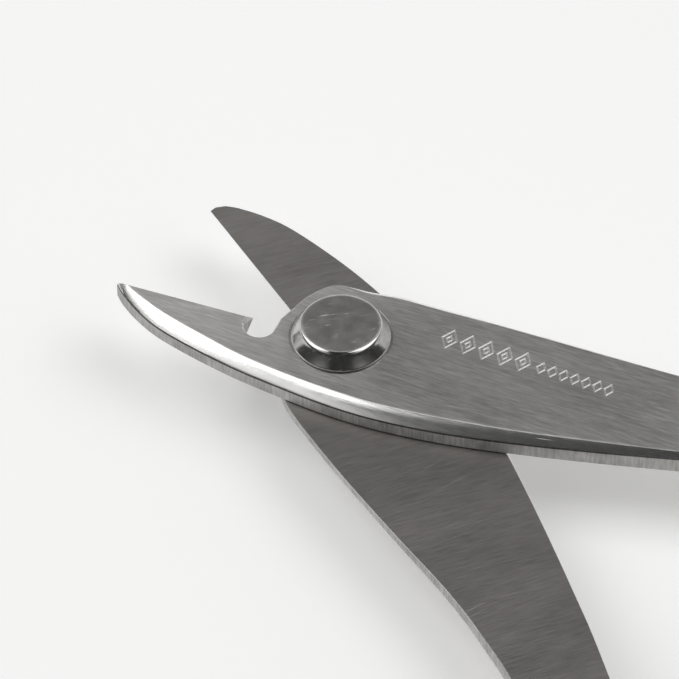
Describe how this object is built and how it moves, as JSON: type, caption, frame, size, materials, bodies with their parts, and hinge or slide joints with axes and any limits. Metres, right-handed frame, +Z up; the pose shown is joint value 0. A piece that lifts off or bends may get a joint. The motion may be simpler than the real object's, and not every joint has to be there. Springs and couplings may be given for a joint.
{
  "type": "sprue nippers",
  "caption": "Hand nippers for trimming moulded plastic: two flat steel blades crossing on a cone-headed pivot, a small notch in the jaw, moulded grips, leaf springs and a tail catch.",
  "frame": {"origin": "centre of the box's bottom face, on the surface the nippers lie on", "axes": "+X from the jaws towards the handles, +Y towards the handle that carries the catch, +Z up along the pivot"},
  "size_m": [0.144, 0.0996, 0.014],
  "materials": {
    "blade_steel": "fine brushed stainless steel",
    "bolt_steel": "polished cone side, satin top",
    "plated_steel": "bright zinc plate",
    "spring_steel": "smooth tempered strip",
    "hard_plastic": "fine moulded texture",
    "soft_rubber": "soft matt"
  },
  "bodies": {
    "upper": {"upper_blade": "blade_steel", "pivot_bolt": "bolt_steel", "pivot_washer": "plated_steel", "wave_washer": "plated_steel", "pivot_nut": "plated_steel", "upper_grip_top_half": "hard_plastic", "upper_grip_bottom_half": "hard_plastic", "upper_grip_pad": "soft_rubber", "upper_grip_front_screw": "plated_steel", "upper_grip_rear_screw": "plated_steel", "upper_grip_front_nut": "plated_steel", "upper_grip_rear_nut": "plated_steel", "upper_leaf_spring": "spring_steel", "upper_spring_pin": "plated_steel", "catch_pin": "plated_steel"},
    "lower": {"lower_blade": "blade_steel", "lower_grip_top_half": "hard_plastic", "lower_grip_bottom_half": "hard_plastic", "lower_grip_pad": "soft_rubber", "lower_grip_front_screw": "plated_steel", "lower_grip_rear_screw": "plated_steel", "lower_grip_front_nut": "plated_steel", "lower_grip_rear_nut": "plated_steel", "lower_leaf_spring": "spring_steel", "lower_spring_pin": "plated_steel", "catch_stud": "plated_steel"},
    "catch": {"catch_lever": "plated_steel"}
  },
  "joints": [
    {"name": "pivot", "type": "hinge", "parent": "upper", "child": "lower", "pos_m": [-0.05017, 0, 0.007], "axis": [0, 0, 1], "range_deg": [0, 33.2], "stiffness_Nm_per_rad": 0.3, "deforming": ["upper_leaf_spring", "lower_leaf_spring"]},
    {"name": "catch_turn", "type": "hinge", "parent": "upper", "child": "catch", "pos_m": [0.06345, 0.04076, 0.007], "axis": [0, 0, 1], "range_deg": [0, 111]}
  ]
}
